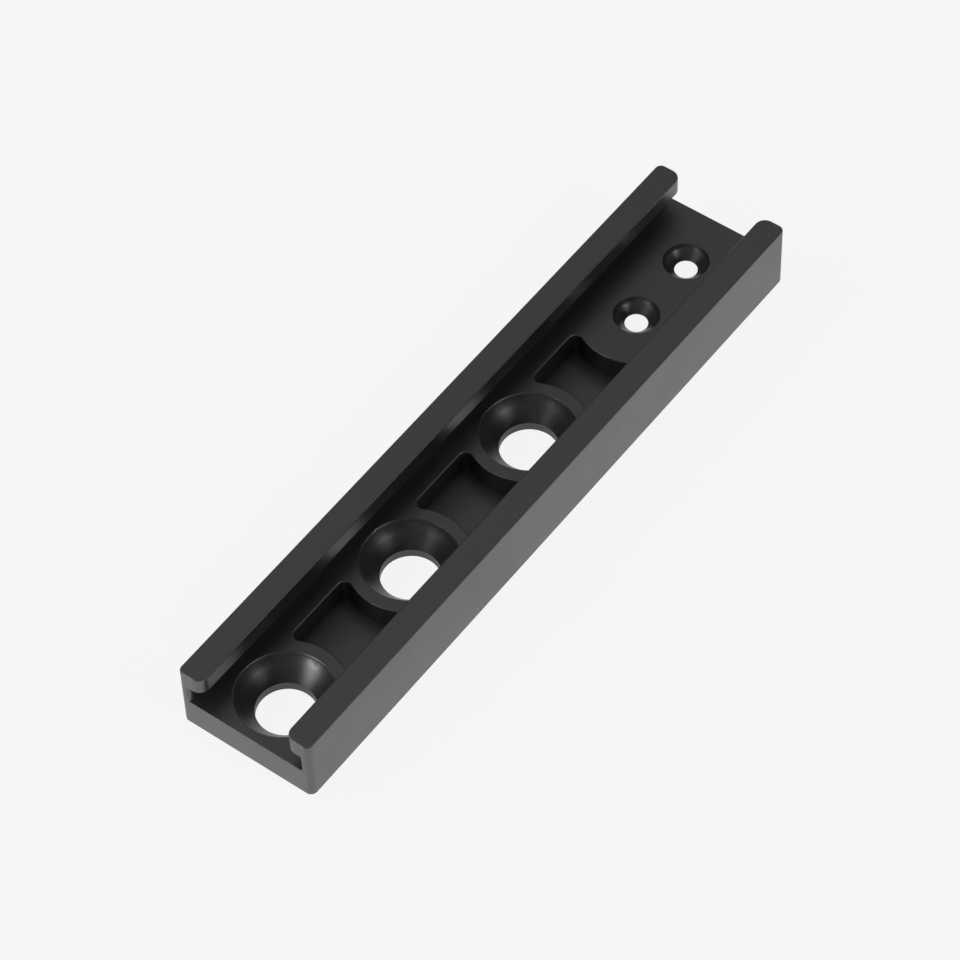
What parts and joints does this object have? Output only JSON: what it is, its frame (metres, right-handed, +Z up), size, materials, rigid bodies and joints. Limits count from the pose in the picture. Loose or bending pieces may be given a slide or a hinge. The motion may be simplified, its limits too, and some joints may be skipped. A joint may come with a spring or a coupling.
{
  "type": "camera top plate",
  "caption": "Machined channel plate with inward lips that form a T-slot, countersunk screw holes through its floor and lightening pockets between them.",
  "frame": {"origin": "middle of the underside", "axes": "+X along the channel towards the pair of small holes, +Y across it, +Z up out of the channel's open side"},
  "size_m": [0.1008, 0.02, 0.01],
  "materials": {
    "black_anodised": "satin black anodised over fine milling marks"
  },
  "bodies": {
    "root": {"top_plate": "black_anodised"}
  },
  "joints": []
}
